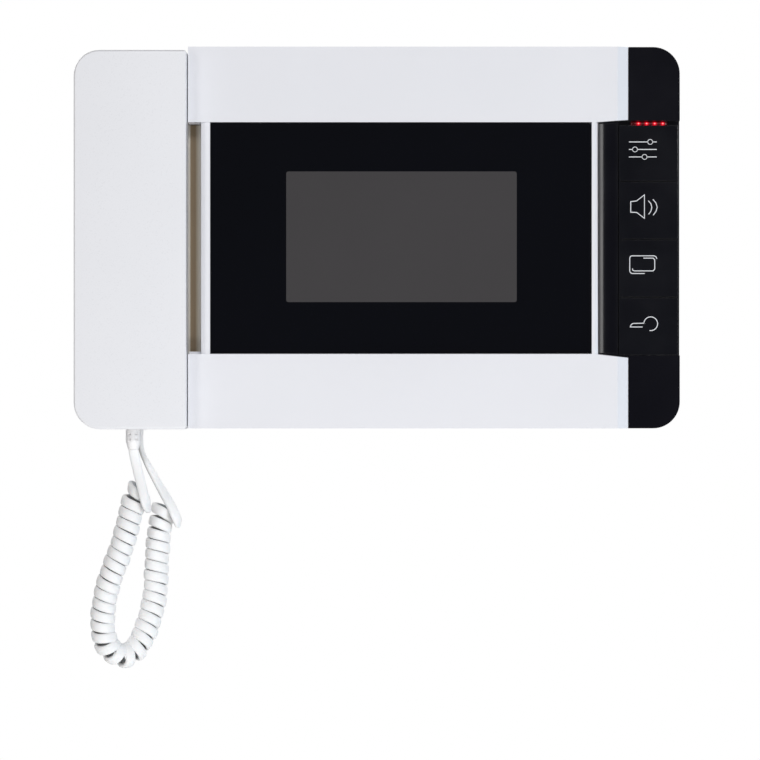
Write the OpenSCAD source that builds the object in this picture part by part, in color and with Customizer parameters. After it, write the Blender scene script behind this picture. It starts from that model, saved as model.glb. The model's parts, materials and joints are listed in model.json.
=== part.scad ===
// Wall video intercom monitor with a side handset on a curly cord.
// Frame: +Z up, +X right, the wall is the plane Y = 0 and the front faces -Y.
// The origin is on the wall, at the middle of the four wall screws.
// Heights off the wall are written as a depth D, and a layer from D0 to D1
// lies between Y = -D0 and Y = -D1.

/* [Body] */
// Right edge of the body, from the origin
body_right = 125; // [124.6:0.2:126]
// Top edge of the body, from the origin
body_top = 78.8; // [78.4:0.2:79.4]
// Bottom edge of the body, below the origin
body_bottom = 78.5; // [78.1:0.2:79.1]
// Radius of the body's outer corners
corner_r = 11; // [9:0.5:12]
// Depth of the rear cover's rim off the wall
rear_depth = 20; // [19.8:0.1:20.1]
// Depth of the front face of the white bars
front_depth = 38; // [37.6:0.1:38.4]
// Depth of the front face of the black side panel
panel_depth = 35.6; // [35.4:0.1:35.8]
// Wall thickness of the mouldings
wall = 2.2; // [2:0.1:2.4]

/* [Wall bracket] */
// Spacing of the wall screws, left to right
screw_dx = 100; // [98:1:102]
// Spacing of the wall screws, top to bottom
screw_dz = 70; // [68:1:72]
// Spacing of the two back-box screws, left to right
box_dx = 60; // [59:0.5:61]
// Diameter of the screw holes
screw_hole_d = 4.6; // [4.2:0.1:5]
// Thickness of the bracket's sheet
sheet_t = 1.2; // [1:0.1:1.3]

/* [Display] */
// Width of the lit area of the 4.3 inch panel
lit_w = 95.04; // [94:0.1:96]
// Height of the lit area
lit_h = 53.86; // [53:0.1:55]
// Thickness of the tinted window
window_t = 2; // [1.8:0.1:2.1]

/* [Keys] */
// Travel of each key
key_travel = 0.8; // [0.5:0.1:1]
// Gap between neighbouring keys
key_gap = 0.4; // [0.3:0.05:0.6]

/* [Handset] */
// Depth of the handset's front face off the wall
handset_depth = 47; // [46:0.5:48]
// Width of the handset
handset_w = 46.4; // [46:0.1:46.5]
// Radius of the handset's ear and mouth cups
cup_r = 17.2; // [16.5:0.1:17.4]

/* [Cord] */
// Diameter of the straight cord
cord_d = 3.6; // [3.2:0.1:3.8]
// Outer diameter of the curled cord
coil_d = 10.4; // [10:0.1:10.8]

/* [Hidden] */
$fn = 48;

e = 0.01;
xl = -77.8;                 // left end of the white bars
xr = body_right;
zt = body_top;
zb = -body_bottom;
groove_r = -72.4;           // right side of the finger groove
win = [-68.7, -47.7, 88.6, 47.6]; // opening of the white frame
hx = -124.5;                // left side of the handset
hxr = hx + handset_w;
hz0 = -78.9;
hz1 = 77;
hcx = -101.5;               // middle of the handset
cup_z = [50, -50];          // ear cup and mouth cup
well_r = cup_r + 0.8;
case_pos = [[-70, 64], [-70, -64], [20, 66], [20, -66], [112, 66], [112, -66]];
board_pos = [[-54, 40], [-54, -40], [79, 40], [79, -40]];
hook_pos = [[-30, 28], [30, 28], [-30, -38], [30, -38]];
wall_pos = [for (x = [-1, 1], z = [-1, 1]) [x * screw_dx / 2, z * screw_dz / 2]];
head_pos = concat(wall_pos, [[-box_dx / 2, 0], [box_dx / 2, 0]]);
deck0 = 28;
deck1 = 30;
key_x0 = 99.9;
key_x1 = 124.1;
key_z = [46.5, 23.4, -0.5, -24.4, -48.2];
pcb_d0 = 20.6;
pcb_d1 = 22.2;

// A layer from depth d0 to depth d1, drawn in X and Z.
module lay(d0, d1) translate([0, -d0, 0]) rotate([90, 0, 0]) linear_extrude(height = d1 - d0) children();
module disc(x, z, r, d0, d1) lay(d0, d1) translate([x, z]) circle(r = r);
module box(x0, z0, x1, z1, d0, d1) translate([x0, -d1, z0]) cube([x1 - x0, d1 - d0, z1 - z0]);
module rect(x0, z0, x1, z1) translate([x0, z0]) square([x1 - x0, z1 - z0]);
// Rectangle with its own radius at each corner: top left, top right,
// bottom right, bottom left.
module rrect(x0, z0, x1, z1, tl, tr, br, bl) {
  difference() {
    rect(x0, z0, x1, z1);
    if (tl > 0) rect(x0 - 1, z1 - tl, x0 + tl, z1 + 1);
    if (tr > 0) rect(x1 - tr, z1 - tr, x1 + 1, z1 + 1);
    if (br > 0) rect(x1 - br, z0 - 1, x1 + 1, z0 + br);
    if (bl > 0) rect(x0 - 1, z0 - 1, x0 + bl, z0 + bl);
  }
  if (tl > 0) intersection() { translate([x0 + tl, z1 - tl]) circle(r = tl, $fn = 64); rect(x0, z1 - tl, x0 + tl, z1); }
  if (tr > 0) intersection() { translate([x1 - tr, z1 - tr]) circle(r = tr, $fn = 64); rect(x1 - tr, z1 - tr, x1, z1); }
  if (br > 0) intersection() { translate([x1 - br, z0 + br]) circle(r = br, $fn = 64); rect(x1 - br, z0, x1, z0 + br); }
  if (bl > 0) intersection() { translate([x0 + bl, z0 + bl]) circle(r = bl, $fn = 64); rect(x0, z0, x0 + bl, z0 + bl); }
}
// Outline of the base's rear half, set in by i from its outside.
module rear_outline(i) {
  rrect(-123.2 + i, -77.2 + i, -60, 75.9 - i, 9.5 - min(i, 6), 0, 0, 9.5 - min(i, 6));
  rrect(xl + 0.6 + i, zb + 1 + i, xr - 1 - i, zt - 1 - i, 1, corner_r - 1 - i / 2, corner_r - 1 - i / 2, 1);
}

module wall_bracket() {
  color("lightsteelblue") {
    difference() {
      lay(0, sheet_t) rrect(-62, -50, 62, 50, 4, 4, 4, 4);
      lay(-1, 3) rrect(-22, -20, 22, 20, 3, 3, 3, 3);
      for (p = wall_pos) disc(p[0], p[1], screw_hole_d / 2, -1, 3);
      for (x = [-box_dx / 2, box_dx / 2]) disc(x, 0, screw_hole_d / 2, -1, 3);
      for (p = hook_pos) box(p[0] - 5, p[1] + 1.2, p[0] + 5, p[1] + 7, -1, 3);
    }
    for (p = hook_pos) {
      box(p[0] - 5, p[1], p[0] + 5, p[1] + 1.2, sheet_t - 0.5, 5.8);
      box(p[0] - 5, p[1] + 1.2 - e, p[0] + 5, p[1] + 5.4, 4.6, 5.8);
    }
  }
}

module rear_cover() {
  color("gainsboro") difference() {
    union() {
      difference() {
        lay(0.6, rear_depth) rear_outline(0);
        difference() {
          lay(2.8, rear_depth + 1) rear_outline(wall);
          // raised floor over the bracket
          box(-66, -56, 66, 60, 2.7, 4.2);
        }
      }
      for (p = case_pos) disc(p[0], p[1], 4.5, 2.6, 16);
      // standing ring around the speaker
      difference() {
        disc(100, -44, 20, 2.6, 7);
        disc(100, -44, 18.4, 2.7, 8);
      }
      // guide of the hook plunger
      disc(hcx, 0, 4.6, 2.6, 9);
      // raised floors over the screw heads
      for (p = head_pos) box(p[0] - 7.2, p[1] - 7.7, p[0] + 7.2, p[1] + 14.7, 2.7, 5.9);
    }
    // pockets for the heads of the wall screws, tall enough to hang the unit
    for (p = head_pos) box(p[0] - 5.5, p[1] - 6, p[0] + 5.5, p[1] + 13, 1.5, 4.4);
    // recess that takes the wall bracket
    box(-63.5, -53.5, 63.5, 57, 0.1, 2);
    for (p = hook_pos) box(p[0] - 5.6, p[1] - 0.6, p[0] + 5.6, p[1] + 8.4, 1, 5);
    // window for the building's cable
    lay(1, 5) rrect(-20, -17, 20, 17, 3, 3, 3, 3);
    for (p = case_pos) {
      disc(p[0], p[1], 3.2, 0, 13);
      disc(p[0], p[1], 1.7, 12, 17);
    }
    // sound slots and the sound channel down to the bottom edge
    for (i = [-4:4]) box(100 + i * 3.4 - 0.9, -55, 100 + i * 3.4 + 0.9, -33, 0, 3.4);
    box(84, -80, 116, -31, 0.1, 1.4);
    // air slots at the top and the bottom
    for (i = [-6:6]) {
      box(40 + i * 5 - 1, 70, 40 + i * 5 + 1, 90, 6, 12);
      box(-20 + i * 5 - 1, -90, -20 + i * 5 + 1, -70, 6, 12);
    }
    // bore of the plunger guide
    disc(hcx, 0, 2.6, 4, 10);
    // notch for the switch lever
    box(hcx, -2, hcx + 6, 2, 5.8, 10);
    // outlet of the cord's boot
    box(-101.8, -80, -95.4, -72, 6.9, 13.1);
  }
}

module case_screws() {
  color("silver") for (p = case_pos) difference() {
    union() {
      disc(p[0], p[1], 2.8, 11, 13);
      disc(p[0], p[1], 1.3, 12.5, 23.5);
    }
    box(p[0] - 1.8, p[1] - 0.35, p[0] + 1.8, p[1] + 0.35, 10, 12);
    box(p[0] - 0.35, p[1] - 1.8, p[0] + 0.35, p[1] + 1.8, 10, 12);
  }
}

// Plate behind the handset, with a well for each of its cups.
module cradle() {
  color("whitesmoke") difference() {
    union() {
      lay(20.2, 22.4) rrect(-123.2, -77.2, groove_r - 0.2, 75.9, 9.5, 0, 0, 9.5);
      for (z = cup_z) disc(hcx, z, well_r + 1.3, 11.8, 22);
    }
    for (z = cup_z) disc(hcx, z, well_r, 13.4, 23);
    disc(hcx, 0, 4.05, 19, 23);
    // the cradle gives way to the housing above and below the groove
    box(xl - 0.2, 47.3, -60, 90, 19, 23);
    box(xl - 0.2, -90, -60, -47.4, 19, 23);
  }
}

module housing_outline(i) {
  difference() {
    rrect(xl + i, zb + i, xr - i, zt - i, 1, corner_r - i, corner_r - i, 1);
    rect(xl - 5, -47.5 - i, groove_r + i, 47.4 + i);
  }
}
module front_housing() {
  color("white") difference() {
    union() {
      difference() {
        lay(rear_depth + 0.2, deck1) housing_outline(0);
        lay(rear_depth, deck0) housing_outline(wall);
      }
      // raised frame under the window
      lay(deck1 - 1, 33.4) rect(-68.2, -47, 88, 47);
      for (p = case_pos) disc(p[0], p[1], 4, 16.2, deck0 + 1);
      for (p = board_pos) disc(p[0], p[1], 3, pcb_d1, deck0 + 1);
    }
    for (p = case_pos) disc(p[0], p[1], 1.35, 15, 26);
    for (p = board_pos) disc(p[0], p[1], 1.1, 20, 27);
    // pocket of the display module
    box(-44, -35.5, 64, 35, 27, 34);
    // opening over the key board
    box(94.5, -49, 121.6, 49.6, 27, 31);
    box(103.5, 49, 122, 53, 27, 31);
  }
}

// White bars, left margin and rib: one trim moulding.
module bars_outline() {
  polygon([[xl, 47.7], [91, 47.7], [xl + 181.5, 48.7], [xl + 181.5, zt], [xl, zt]]);
  polygon([[xl, -47.8], [89.4, -47.8], [xl + 181.5, -49.4], [xl + 181.5, zb], [xl, zb]]);
}
module front_frame() {
  color("white") difference() {
    union() {
      lay(deck1 + 0.2, front_depth) bars_outline();
      // left margin
      box(groove_r, -48, win[0], 48, deck1 + 0.2, front_depth - 0.6);
      // rib, sloped on its right
      translate([0, 0, -48]) linear_extrude(height = 96)
        polygon([[win[2], -deck1 - 0.2], [91.2, -deck1 - 0.2], [91.2, -panel_depth - 0.4], [90, -front_depth], [win[2], -front_depth]]);
      // ledge at the foot of the groove
      box(-77.4, -47.8, groove_r, -46.8, deck1 + 0.2, 33);
    }
    // hollow behind the bars
    lay(deck1, front_depth - wall) {
      rect(xl + wall, 47.7 + wall, 97, zt - wall);
      rect(xl + wall, zb + wall, 97, -47.8 - wall);
    }
    // sloped right ends of the bars
    translate([0, 0, -90]) linear_extrude(height = 180)
      polygon([[99.2, -front_depth - 1], [99.2, -front_depth], [103.71, -front_depth + 2.6], [104.5, -front_depth + 2.6], [104.5, -front_depth - 1]]);
    // outer facet of the left margin
    translate([0, 0, -47.6]) linear_extrude(height = 95.2)
      polygon([[groove_r - 1, -36.2], [groove_r, -36.2], [-70.6, -front_depth + 0.6], [-70.6, -40], [groove_r - 1, -40]]);
  }
}

module side_outline() {
  rrect(103.9, zb, xr, zt, 0, corner_r, corner_r, 0);
  polygon([[91.4, -47.7], [103.9, -49.2], [104.4, -49.2], [104.4, 48.5], [103.9, 48.5], [91.4, 47.6]]);
}
module side_panel() {
  color([0.07, 0.07, 0.09]) difference() {
    lay(deck1 + 0.2, panel_depth) side_outline();
    // hollow corner blocks
    lay(deck1, panel_depth - wall) {
      rrect(106, 51, xr - wall, zt - wall, 0, 8.8, 8.8, 0);
      rrect(106, zb + wall, xr - wall, -51, 0, 8.8, 8.8, 0);
    }
    // pocket of the keys
    box(99.6, -48.4, xr + 1, 48.4, 31.7, 50);
    // valley between the rib and the keys
    translate([95.45, -panel_depth - 13.2, -47.4]) cylinder(r = 14.2, h = 94.6, $fn = 96);
    // holes of the key stems
    for (i = [0:3]) disc(112.2, (key_z[i] + key_z[i + 1]) / 2, 3, 29, 34);
    // slot of the lights
    box(104.8, 46.5, 120.2, 48.3, 29, 34);
  }
}

module display_window() {
  color([0.02, 0.02, 0.03]) lay(34.4, 34.4 + window_t) rect(win[0] + 0.2, win[1] + 0.2, win[2] - 0.2, win[3] - 0.2);
}
module window_tape() {
  color("dimgray") difference() {
    lay(33.4, 34.4) rect(-67.8, -46.6, 87.6, 46.6);
    lay(33, 35) rect(-64, -42.6, 84, 42.6);
  }
}
lcd_x = 10.2;
lcd_z = 0.5;
module lcd_panel() {
  color([0.24, 0.24, 0.25]) difference() {
    box(lcd_x - lit_w / 2 - 3, lcd_z - lit_h / 2 - 3.6, lcd_x + lit_w / 2 + 3, lcd_z + lit_h / 2 + 3, 32.6, 34.1);
    // shallow step around the lit area
    difference() {
      box(-60, -50, 80, 50, 33.8, 35);
      box(lcd_x - lit_w / 2, lcd_z - lit_h / 2, lcd_x + lit_w / 2, lcd_z + lit_h / 2, 33, 36);
    }
  }
}
module lcd_backlight() {
  color("silver") difference() {
    box(lcd_x - 52.7, lcd_z - 33.6, lcd_x + 52.7, lcd_z + 33.6, 30.2, 33.9);
    box(lcd_x - 50.7, lcd_z - 30.7, lcd_x + 50.7, lcd_z + 30.1, 32.5, 35);
  }
}
module lcd_bracket() {
  color("dimgray") difference() {
    union() {
      box(-43.8, -35.3, 63.8, 34.8, 27.7, 30.1);
      for (z = [-30, 30]) box(-47.6, z - 4, 67.8, z + 4, 26, 27.9);
    }
    box(-30, -28, 50, 20, 27, 31);
  }
}
module lcd_ribbon() {
  color("orange") {
    box(0, -26, 20, -8, 29.9, 30.1);
    box(0, -8.2, 20, -8, 24, 30);
    box(0, -16, 20, -8, 23.8, 24);
  }
}

module main_board() {
  color("darkgreen") difference() {
    box(-60, -46, 85, 46, pcb_d0, pcb_d1);
    for (p = board_pos) disc(p[0], p[1], 1.6, 20, 23);
  }
}
module board_screws() {
  color("silver") for (p = board_pos) difference() {
    union() {
      disc(p[0], p[1], 2.8, 18.8, pcb_d0);
      disc(p[0], p[1], 1.05, 19, 26.6);
    }
    box(p[0] - 1.8, p[1] - 0.35, p[0] + 1.8, p[1] + 0.35, 18, 19.8);
    box(p[0] - 0.35, p[1] - 1.8, p[0] + 0.35, p[1] + 1.8, 18, 19.8);
  }
}
module power_transformer() {
  color("gold") union() {
    box(42, 10, 62, 14, 7, 19);
    box(42, 26, 62, 30, 7, 19);
    box(46, 13, 58, 27, 6.4, 19.6);
    box(44, 11, 60, 29, 19, pcb_d0);
  }
}
module capacitors() {
  color("darkslateblue") {
    disc(66, 33, 5, 6, pcb_d0);
    disc(74, 22, 5, 6, pcb_d0);
    disc(36, 34, 4, 9, pcb_d0);
    disc(-34, 35, 3.15, 9, pcb_d0);
    disc(-44, 28, 3.15, 9, pcb_d0);
  }
}
module door_relay() {
  color("royalblue") box(-50, -34, -31, -18.5, 6.2, pcb_d0);
}
module mains_fuse() {
  color("silver") {
    for (x = [56, 71]) difference() {
      box(x, -8, x + 4, 0, 12, pcb_d0);
      translate([x - 1, -15.4, -4]) rotate([0, 90, 0]) cylinder(r = 2.6, h = 7);
    }
  }
  color("white") translate([56, -15.4, -4]) rotate([0, 90, 0]) cylinder(r = 2.55, h = 19);
}
module control_chips() {
  color("black") {
    box(-20, 24, -6, 38, 18.8, pcb_d0);
    box(6, 26, 16, 36, 19, pcb_d0);
    box(-50, 4, -40, 12, 18.9, pcb_d0);
    box(24, -36, 34, -26, 18.9, pcb_d0);
  }
}
module terminal_block() {
  color("seagreen") difference() {
    box(-16, -6, 16, 6, 9, pcb_d0);
    for (i = [0:5]) {
      disc(-12.5 + i * 5, 2, 1.9, 8, 14);
      box(-14.2 + i * 5, -7, -10.8 + i * 5, -3, 14.6, 18.6);
    }
  }
}
module terminal_screws() {
  color("silver") for (i = [0:5]) difference() {
    disc(-12.5 + i * 5, 2, 1.7, 10.5, 14);
    box(-14 + i * 5, 1.7, -11 + i * 5, 2.3, 10, 11.3);
  }
}

module key_board() {
  color("darkgreen") box(95, -48.6, 121, 49.2, 24.4, 26);
}
module tact_switches() {
  color("silver") for (i = [0:3]) {
    z = (key_z[i] + key_z[i + 1]) / 2;
    box(109.2, z - 3, 115.2, z + 3, 26, 26.9);
    disc(112.2, z, 1.75, 26, 27.3);
  }
}
module one_key(i) {
  z1 = key_z[i] - (i == 0 ? 0.1 : key_gap / 2);
  z0 = key_z[i + 1] + (i == 3 ? 0 : key_gap / 2);
  zc = (key_z[i] + key_z[i + 1]) / 2;
  color([0.06, 0.06, 0.07]) {
    difference() {
      box(key_x0, z0, key_x1, z1, 32.8, panel_depth + 0.4);
      box(key_x0 + 1.5, z0 + 1.5, key_x1 - 1.5, z1 - 1.5, 32, panel_depth - 1.2);
    }
    disc(112.2, zc, 2.6, 28.2, panel_depth - 0.8);
    disc(112.2, zc, 3.5, 28.4, 29.9);
  }
}
module key_settings() one_key(0);
module key_talk() one_key(1);
module key_monitor() one_key(2);
module key_unlock() one_key(3);

module status_leds() {
  color("red") for (i = [0:3]) {
    x = 108 + i * 3.34;
    box(x - 0.8, 46.5, x + 0.8, 48.1, 26, 28);
  }
}
module led_lens() {
  color([1, 0.2, 0.2]) union() {
    box(105, 46.6, 120, 48.2, 28.2, 31.6);
    box(106, 46.7, 119, 47.8, 31.5, panel_depth - 0.2);
  }
}
module key_board_ribbon() {
  color("lightgray") {
    box(86, -10, 95.6, 10, 23.6, 23.9);
    box(95.3, -10, 95.6, 10, 23.6, 24.4);
    box(79, -10, 86.2, 10, 22.2, 23.9);
  }
}

module loudspeaker() {
  color("dimgray") translate([100, -4.2, -44]) rotate([90, 0, 0]) rotate_extrude($fn = 96)
    polygon([[0, 1.6], [5, 1.6], [6, 3], [14, 0.6], [16, 1], [16.4, 0], [18, 0], [18, 1.4], [16.6, 1.6], [9.4, 6.2], [9.4, 11], [0, 11]]);
}
module speaker_gasket() {
  color("black") difference() {
    disc(100, -44, 18, 2.8, 4.1);
    disc(100, -44, 15.6, 2, 5);
  }
}
module speaker_lead() {
  color("firebrick") for (x = [92, 94]) {
    translate([x, -17, -40]) rotate([90, 0, 0]) cylinder(r = 0.5, h = 2, $fn = 24);
    translate([x, -17.4, -40]) cylinder(r = 0.5, h = 14, $fn = 24);
    translate([80, -17.4, -26.5 + (x - 92)]) rotate([0, 90, 0]) cylinder(r = 0.5, h = x - 80 + 0.4, $fn = 24);
    translate([80.5, -17.4, -26.5 + (x - 92)]) rotate([90, 0, 0]) cylinder(r = 0.5, h = pcb_d0 - 17.4, $fn = 24);
  }
}

// Plunger that the handset holds down.
module hook_plunger() {
  color("white") {
    disc(hcx, 0, 4, 15.9, 22.7);
    disc(hcx, 0, 5, 14.9, 16.1);
    disc(hcx, 0, 2.55, 6.4, 15.5);
  }
}
module hook_spring() {
  color("silver") for (i = [0:4]) translate([hcx, -9.4 - i * 1.15, 0]) rotate([90, 0, 0])
    rotate_extrude($fn = 48) translate([3.6, 0]) circle(r = 0.3, $fn = 16);
}
module hook_switch() {
  color("black") {
    box(-96.6, -10, -91, 10, 3, 9.4);
    box(-98.6, -1.4, -96.5, 1.4, 6.4, 7.6);
  }
}

// Outline of the handset, set in by i.
module handset_outline(i) rrect(hx + i, hz0 + i, hxr - i, hz1 - i, 10.5 - i, 1.6 - i / 2, 1.6 - i / 2, 11 - i);
module handset_front_shell() {
  color("white") difference() {
    union() {
      difference() {
        lay(26.2, handset_depth) handset_outline(0);
        lay(25, handset_depth - 2.4) handset_outline(wall);
      }
      for (z = [66, -66]) disc(hcx + 12, z, 3, 30, handset_depth - 1);
    }
    for (z = [66, -66]) disc(hcx + 12, z, 1.35, 29, 40);
    // half of the boot's outlet
    box(hcx - 2.2, hz0 - 1, hcx + 4, hz0 + 5, 26, 37.2);
  }
}
module handset_back_shell() {
  color("white") difference() {
    union() {
      lay(22.9, 26.1) handset_outline(0.2);
      for (z = cup_z) disc(hcx, z, cup_r, 14.4, 24);
    }
    lay(24.7, 27) handset_outline(3);
    for (z = cup_z) {
      disc(hcx, z, cup_r - 1.8, 16.2, 27);
    }
    for (a = [0:5]) disc(hcx + 6 * cos(a * 60), cup_z[0] + 6 * sin(a * 60), 1, 14, 17);
    disc(hcx, cup_z[0], 1, 14, 17);
    for (x = [-3, 0, 3]) disc(hcx + x, cup_z[1], 0.9, 14, 17);
    for (z = [66, -66]) {
      disc(hcx + 12, z, 3.2, 22, 24.9);
      disc(hcx + 12, z, 1.7, 22, 27);
    }
    box(hcx - 2.2, hz0 - 1, hcx + 4, hz0 + 5, 24.8, 27);
  }
}
module earpiece_capsule() {
  color("dimgray") translate([hcx, -16.8, cup_z[0]]) rotate([90, 0, 0]) rotate_extrude($fn = 96)
    polygon([[0, 0.4], [12, 0.4], [12.6, 0], [15.2, 0], [15.2, 3], [11, 5], [11, 8], [0, 8]]);
}
module earpiece_felt() {
  color("black") disc(hcx, cup_z[0], 15, 16.25, 16.75);
}
module mouthpiece_capsule() {
  color("silver") disc(hcx, cup_z[1], 4.85, 17.4, 22.4);
}
module mouthpiece_boot() {
  color("black") difference() {
    disc(hcx, cup_z[1], 7, 16.3, 23);
    disc(hcx, cup_z[1], 4.9, 17.3, 24);
    disc(hcx, cup_z[1], 2.4, 16, 18);
  }
}
module handset_weight() {
  color("gray") box(hcx - 14, -26, hcx + 14, 26, 24.9, 29.9);
}
module handset_lead() {
  color("firebrick") for (x = [-1.2, 1.2]) {
    translate([hcx + x, -31, -60]) cylinder(r = 0.45, h = 109, $fn = 24);
    translate([hcx + x, -25, 48.6]) rotate([90, 0, 0]) cylinder(r = 0.45, h = 6.4, $fn = 24);
    translate([hcx + x, -22.6, -52]) rotate([90, 0, 0]) cylinder(r = 0.45, h = 8.8, $fn = 24);
  }
}
module handset_screws() {
  color("silver") for (z = [66, -66]) difference() {
    union() {
      disc(hcx + 12, z, 2.8, 23.4, 24.9);
      disc(hcx + 12, z, 1.3, 24, 38);
    }
    box(hcx + 10.4, z - 0.35, hcx + 13.6, z + 0.35, 22, 24.2);
    box(hcx + 11.65, z - 1.6, hcx + 12.35, z + 1.6, 22, 24.2);
  }
}
module screw_plugs() {
  color("whitesmoke") for (z = [66, -66]) disc(hcx + 12, z, 3.1, 22.95, 23.35);
}

// A boot: a collar inside the wall, then a body that narrows to the cord.
module boot(x, d, z, straight, taper, slots) {
  difference() {
    union() {
      translate([x - 3, -d - 3, z - 0.1]) cube([6, 6, 4]);
      translate([x - 4, -d - 4, z + 2.4]) cube([8, 8, 1.4]);
      translate([x, -d, z - straight]) cylinder(r = 3.1, h = straight + 0.2);
      translate([x, -d, z - straight - taper]) cylinder(r1 = 2.2, r2 = 3.1, h = taper + e);
    }
    if (slots) for (k = [0, 1], q = [-1, 1], f = [-3.6, 1.9])
      translate([x + q * 1.45 - 0.65, -d + f, z - 2.4 - k * 2.2]) cube([1.3, 1.7, 0.7]);
  }
}
boot_x = -100.6;
boot_d = 32;
base_boot_x = -98.6;
base_boot_d = 10;
module handset_boot() { color("white") boot(boot_x, boot_d, hz0, 5, 3.2, true); }
module base_boot() { color("white") boot(base_boot_x, base_boot_d, -77.2, 1.4, 0.8, false); }

// Tube swept along route points: a ring of n points at each, joined by quads.
function unit(v) = v / norm(v);
function tangent(p, i) = unit(p[min(i + 1, len(p) - 1)] - p[max(i - 1, 0)]);
function ring(p, i, r, n) =
  let (t = tangent(p, i), a = unit(cross(t, [0.02, 1, 0.03])), b = cross(t, a))
  [for (k = [0:n - 1]) p[i] + r * (cos(k * 360 / n) * a + sin(k * 360 / n) * b)];
module tube(p, r, n) {
  m = len(p);
  polyhedron(
    points = [for (i = [0:m - 1]) each ring(p, i, r, n)],
    faces = concat(
      [[for (k = [0:n - 1]) n - 1 - k]],
      [for (i = [0:m - 2], k = [0:n - 1])
        [i * n + k, i * n + (k + 1) % n, (i + 1) * n + (k + 1) % n, (i + 1) * n + k]],
      [[for (k = [0:n - 1]) (m - 1) * n + k]]));
}
// Points on a smooth curve through the route, s of them from each to the next.
function cr(a, b, c, d, t) = 0.5 * (2 * b + t * (c - a) + t * t * (2 * a - 5 * b + 4 * c - d) + t * t * t * (3 * b - a - 3 * c + d));
function smooth(p, s) = [for (i = [0:len(p) - 2], j = [0:s - 1])
  cr(p[max(i - 1, 0)], p[i], p[i + 1], p[min(i + 2, len(p) - 1)], j / s),
  ] ;
function route(p, s) = concat(smooth(p, s), [p[len(p) - 1]]);

// Routes of the cord, in X, Y and Z.
tail_handset_pts = [[-100.6, -32, -87.1], [-100.6, -32, -87.9], [-100.6, -32, -88.8], [-98.9, -33, -95], [-97.5, -33.4, -101.5], [-97, -33, -106.4], [-97.6, -32, -109.4], [-98.2, -31.2, -111.5]];
coil_pts = [[-101.4, -29, -112], [-103.8, -29, -121.5], [-106.5, -28.5, -130], [-109.6, -28, -138.5],
  [-112, -27, -146.5], [-113.5, -26, -155], [-113.6, -25, -162.5], [-111.6, -24, -168.8], [-107.6, -22.6, -172.4],
  [-103, -21, -172.6], [-99, -20, -168.6], [-96, -19, -162.5], [-93.6, -18, -154.5], [-92.2, -17, -146],
  [-91.8, -16.4, -137.5], [-91.2, -16, -129.5], [-90.6, -15.6, -121.5], [-89.6, -15, -116.4]];
tail_base_pts = [[-98.6, -10, -79.4], [-98.6, -10, -80], [-98.6, -10, -80.8], [-97.4, -10.6, -84.6], [-95.2, -11.6, -88.6], [-91.2, -13.6, -94.8], [-86.8, -16.5, -103.2], [-83.6, -18.8, -110.4], [-83.4, -18.6, -115], [-86.4, -17, -118]];

module cord_tail_handset() { color("white") tube(route(tail_handset_pts, 2), cord_d / 2, 8); }
module cord_coil() { color("white") tube(route(coil_pts, 2), coil_d / 2, 12); }
module cord_tail_base() { color("white") tube(route(tail_base_pts, 2), cord_d / 2, 8); }

wall_bracket();
rear_cover();
case_screws();
cradle();
front_housing();
front_frame();
side_panel();
display_window();
window_tape();
lcd_panel();
lcd_backlight();
lcd_bracket();
lcd_ribbon();
main_board();
board_screws();
power_transformer();
capacitors();
door_relay();
mains_fuse();
control_chips();
terminal_block();
terminal_screws();
key_board();
tact_switches();
key_settings();
key_talk();
key_monitor();
key_unlock();
status_leds();
led_lens();
key_board_ribbon();
loudspeaker();
speaker_gasket();
speaker_lead();
hook_plunger();
hook_spring();
hook_switch();
handset_front_shell();
handset_back_shell();
earpiece_capsule();
earpiece_felt();
mouthpiece_capsule();
mouthpiece_boot();
handset_weight();
handset_lead();
handset_screws();
screw_plugs();
handset_boot();
base_boot();
cord_tail_handset();
cord_coil();
cord_tail_base();
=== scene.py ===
import json
import math

import bmesh
import bpy
import numpy as np
from mathutils import Matrix, Vector

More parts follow.
